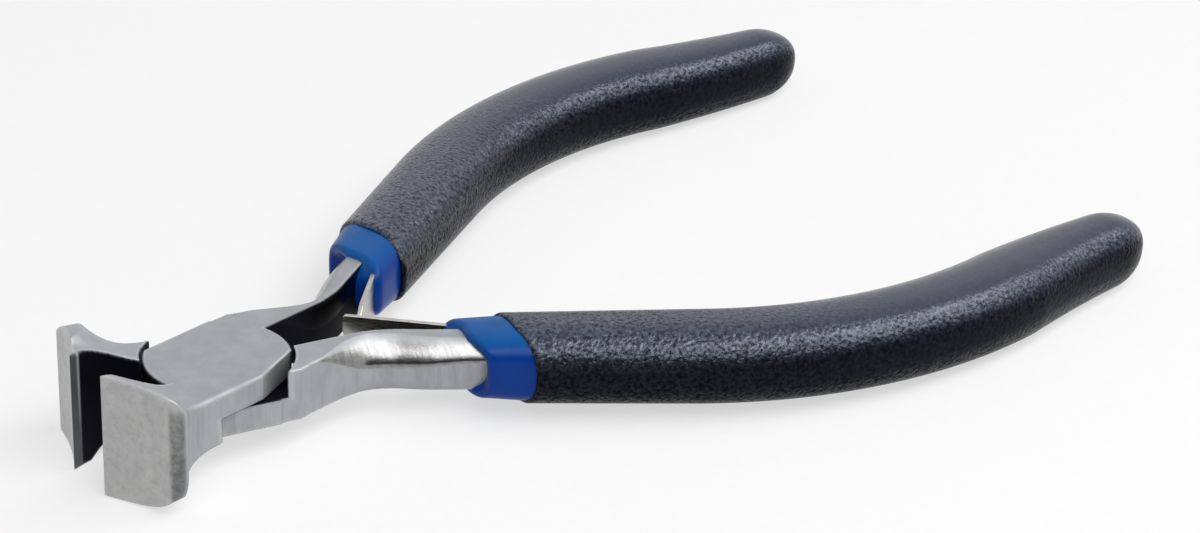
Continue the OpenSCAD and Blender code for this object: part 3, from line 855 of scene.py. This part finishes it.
def blue_vinyl():
    n = Nodes("blue_vinyl")
    where = n.place()
    cloud = n.noise(where, 160, 3)
    grain = n.noise(where, 4200, 2)
    # Painted light: the top is mixed from the darker deep blue towards a lighter lit copy of it
    deep = n.ramp(cloud, ((0.3, (0.001, 0.033, 0.225)), (0.7, (0.001, 0.041, 0.255))))
    lit = n.ramp(cloud, ((0.3, (0.004, 0.085, 0.3)), (0.7, (0.006, 0.1, 0.35))))
    n.set(
        # Painted light on the top, and painted shade on the sides and bottom
        Base_Color=n.mix(n.range(n.mask("height"), 0.45, 0.95, 0.0, 1.0), deep, lit),
        Roughness=n.range(cloud, 0.3, 0.7, 0.24, 0.3), Specular_IOR_Level=0.12,
    )
    n.bump(grain, 0.05, 0.00008)
    return n.material


def black_vinyl():
    """Leathery grain that is strong near the collar and, further on, only beside the smooth top."""
    n = Nodes("black_grained_vinyl")
    where = n.place()
    along, height = n.mask("along"), n.mask("height")
    high = n.math("ABSOLUTE", height, 0.0)
    off_side, off_top = n.range(high, 0.1, 0.35, 0.25, 1.0), n.range(high, 0.7, 0.93, 1.0, 0.1)
    shoulder = n.math("MULTIPLY", off_side, off_top)
    far = n.range(along, 14.0, 40.0, 0.0, 1.0)
    amount = n.math("ADD", n.math("MULTIPLY", far, shoulder), n.range(far, 0.0, 1.0, 1.0, 0.0))
    wrinkle = n.noise(where, 2400, 4, 0.55)
    cells = n.add("ShaderNodeTexVoronoi", {"Vector": where, "Scale": 2600.0}, feature="SMOOTH_F1")
    cloud = n.noise(where, 120, 3)
    pebbles = n.math("MULTIPLY", cells.outputs["Distance"], 0.6)
    grain = n.math("ADD", n.math("MULTIPLY", wrinkle, 0.9), pebbles)
    # The colour named worn is no wear but a painted sheen: the top is mixed towards it, lighter and
    # bluish, and the specular tint paints the shine bluish too
    deep = n.ramp(wrinkle, ((0.35, (0.003, 0.0035, 0.006)), (0.65, (0.007, 0.008, 0.013))))
    worn = n.ramp(wrinkle, ((0.35, (0.011, 0.015, 0.034)), (0.65, (0.018, 0.024, 0.05))))
    uneven = n.math("MULTIPLY", n.range(wrinkle, 0.36, 0.64, -0.55, 0.6), amount)
    dull_to = n.range(far, 0.0, 1.0, 0.1, 0.42)
    shine = n.math("MULTIPLY", n.math("ADD", uneven, 0.7), n.range(height, dull_to, 0.78, 0.1, 1.0))
    n.set(
        # Painted sheen: the top lighter and bluish, and the shine tinted blue
        Base_Color=n.mix(n.range(height, 0.3, 1.0, 0.0, 1.0), deep, worn),
        Roughness=n.range(cloud, 0.3, 0.7, 0.2, 0.26), Specular_IOR_Level=shine,
        Specular_Tint=(0.76, 0.84, 1.0, 1.0),
    )
    n.bump(n.math("MULTIPLY", grain, amount), 0.7, 0.0002)
    return n.material


def floor_paper():
    n = Nodes("studio_paper")
    fibre = n.noise(n.place(), 900, 3)
    n.set(
        Base_Color=n.ramp(fibre, ((0.3, (0.9, 0.9, 0.9)), (0.7, (0.93, 0.93, 0.93)))),
        Roughness=0.9, Specular_IOR_Level=0.1,
    )
    n.bump(fibre, 0.05, 0.0002)
    # Seen directly or in a shine, the paper is part white by itself, which leaves its shadows soft
    path = n.add("ShaderNodeLightPath")
    seen = n.math("MAXIMUM", path.outputs["Is Camera Ray"], path.outputs["Is Glossy Ray"])
    seen = n.math("MAXIMUM", seen, path.outputs["Is Transmission Ray"])
    white = n.add("ShaderNodeEmission", {"Color": (1, 1, 1, 1), "Strength": 1.0})
    blend = n.add("ShaderNodeMixShader", {"Fac": n.math("MULTIPLY", seen, PAPER_GLOW)})
    n.feed(blend.inputs[1], n.shader.outputs[0])
    n.feed(blend.inputs[2], white.outputs[0])
    n.feed(n.tree.nodes["Material Output"].inputs["Surface"], blend.outputs[0])
    return n.material


def paint(obj, material):
    obj.data.materials.clear()
    obj.data.materials.append(material)


# Studio

CAMERA_TURN, CAMERA_RISE, CAMERA_ROLL = 38.09, 27.588, 1.822
CAMERA_LENS = 108.0
CAMERA_AWAY, CAMERA_RIGHT, CAMERA_UP = 0.353324, 0.035563, 0.010599
AIM_X, AIM_Z = 2.268, HALF_JOINT
KEY_SPOT, KEY_TARGET, KEY_SIZE, KEY_POWER = (0.12, -0.36, 0.58), (0.03, 0, 0), (1.4, 0.42), 6.6
FLAG_AWAY, FLAG_HALF_W, FLAG_LOW, FLAG_HIGH = 0.9, 1.3, 0.03, 0.68
FLOOR_HALF, FLOOR_CLEAR, FLOOR_JAW_X, FLOOR_GRIP_X = 3.0, 0.06, -0.0135, 0.075
PAPER_GLOW, WORLD_FILL, WORLD_WHITE = 0.6, 0.25, 1.0


def camera_axes():
    a, e, roll = (math.radians(v) for v in (CAMERA_TURN, CAMERA_RISE, CAMERA_ROLL))
    back = Vector((-math.sin(a)*math.cos(e), -math.cos(a)*math.cos(e), math.sin(e)))
    right = Vector((math.cos(a), -math.sin(a), 0))
    up = back.cross(right)
    c, s = math.cos(roll), math.sin(roll)
    return right*c + up*s, up*c - right*s, back


def add_camera():
    right, up, back = camera_axes()
    data = bpy.data.cameras.new("camera")
    data.lens, data.sensor_width = CAMERA_LENS, 36.0
    data.clip_start = 0.01
    cam = bpy.data.objects.new("camera", data)
    turn = Matrix((right, up, back)).transposed().to_4x4()
    spot = Vector((AIM_X*MM, 0, AIM_Z*MM)) + back*CAMERA_AWAY + right*CAMERA_RIGHT + up*CAMERA_UP
    cam.matrix_world = Matrix.Translation(spot) @ turn
    bpy.context.scene.collection.objects.link(cam)
    bpy.context.scene.camera = cam


def add_softbox(name, spot, target, size, power):
    data = bpy.data.lights.new(name, "AREA")
    data.shape, data.size, data.size_y, data.energy = "RECTANGLE", size[0], size[1], power
    lamp = bpy.data.objects.new(name, data)
    lamp.location = spot
    lamp.rotation_euler = (Vector(target) - Vector(spot)).to_track_quat("-Z", "Y").to_euler()
    bpy.context.scene.collection.objects.link(lamp)


def add_plane(name, corners, material):
    obj = make_mesh(name, corners, [(0, 1, 2, 3)])
    paint(obj, material)
    return obj


def add_floor():
    """The paper that the jaws and the grips' undersides touch."""
    jaw_z = (HALF_JOINT - EDGE_LEN/2 - FLOOR_CLEAR)*MM
    grip_z = (HALF_JOINT - GRIP_H/2 - FLOOR_CLEAR)*MM
    tilt = (grip_z - jaw_z)/(FLOOR_GRIP_X - FLOOR_JAW_X)
    corners = [
        (a*FLOOR_HALF, b*FLOOR_HALF, jaw_z + tilt*(a*FLOOR_HALF - FLOOR_JAW_X))
        for a, b in ((-1, -1), (1, -1), (1, 1), (-1, 1))
    ]
    add_plane("studio_floor", corners, floor_paper())


def add_flag():
    """A dark card low in front of the tool, which only the shine of the surfaces shows."""
    turn = math.radians(CAMERA_TURN)
    out = Vector((-math.sin(turn), -math.cos(turn), 0))
    side = Vector((math.cos(turn), -math.sin(turn), 0))
    corners = [
        tuple(out*FLAG_AWAY + side*a*FLAG_HALF_W + Vector((0, 0, h)))
        for a, h in ((-1, FLAG_LOW), (1, FLAG_LOW), (1, FLAG_HIGH), (-1, FLAG_HIGH))
    ]
    n = Nodes("flag_cloth")
    weave = n.noise(n.place(), 300, 2)
    n.set(
        Base_Color=n.ramp(weave, ((0.3, (0.008, 0.008, 0.008)), (0.7, (0.014, 0.014, 0.014)))),
        Roughness=0.95,
    )
    flag = add_plane("dark_flag", corners, n.material)
    flag.visible_camera = flag.visible_diffuse = flag.visible_shadow = False


def set_world():
    world = bpy.data.worlds.new("studio")
    bpy.context.scene.world = world
    world.use_nodes = True
    nodes, links = world.node_tree.nodes, world.node_tree.links
    path = nodes.new("ShaderNodeLightPath")
    seen = path.outputs["Is Camera Ray"]
    for ray in ("Is Glossy Ray", "Is Transmission Ray"):
        either = nodes.new("ShaderNodeMath")
        either.operation = "MAXIMUM"
        links.new(seen, either.inputs[0])
        links.new(path.outputs[ray], either.inputs[1])
        seen = either.outputs[0]
    level = nodes.new("ShaderNodeMapRange")
    level.inputs["To Min"].default_value = WORLD_FILL
    level.inputs["To Max"].default_value = WORLD_WHITE
    links.new(seen, level.inputs["Value"])
    links.new(level.outputs["Result"], nodes["Background"].inputs["Strength"])
    nodes["Background"].inputs["Color"].default_value = (1, 1, 1, 1)


STEEL, STRIP, BLUE, BLACK = lever_steel(), spring_steel(), blue_vinyl(), black_vinyl()
for half in HALVES:
    paint(make_lever(half), STEEL)
    paint(make_collar(half), BLUE)
    paint(make_grip(half), BLACK)
    paint(make_leaf(half), STRIP)
    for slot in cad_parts[half + "_spring_rivet"].material_slots:
        slot.material = STRIP
paint(make_rivet(), STRIP)
add_camera()
add_floor()
add_softbox("key_softbox", KEY_SPOT, KEY_TARGET, KEY_SIZE, KEY_POWER)
add_flag()
set_world()
bpy.context.scene.view_settings.view_transform = "Standard"
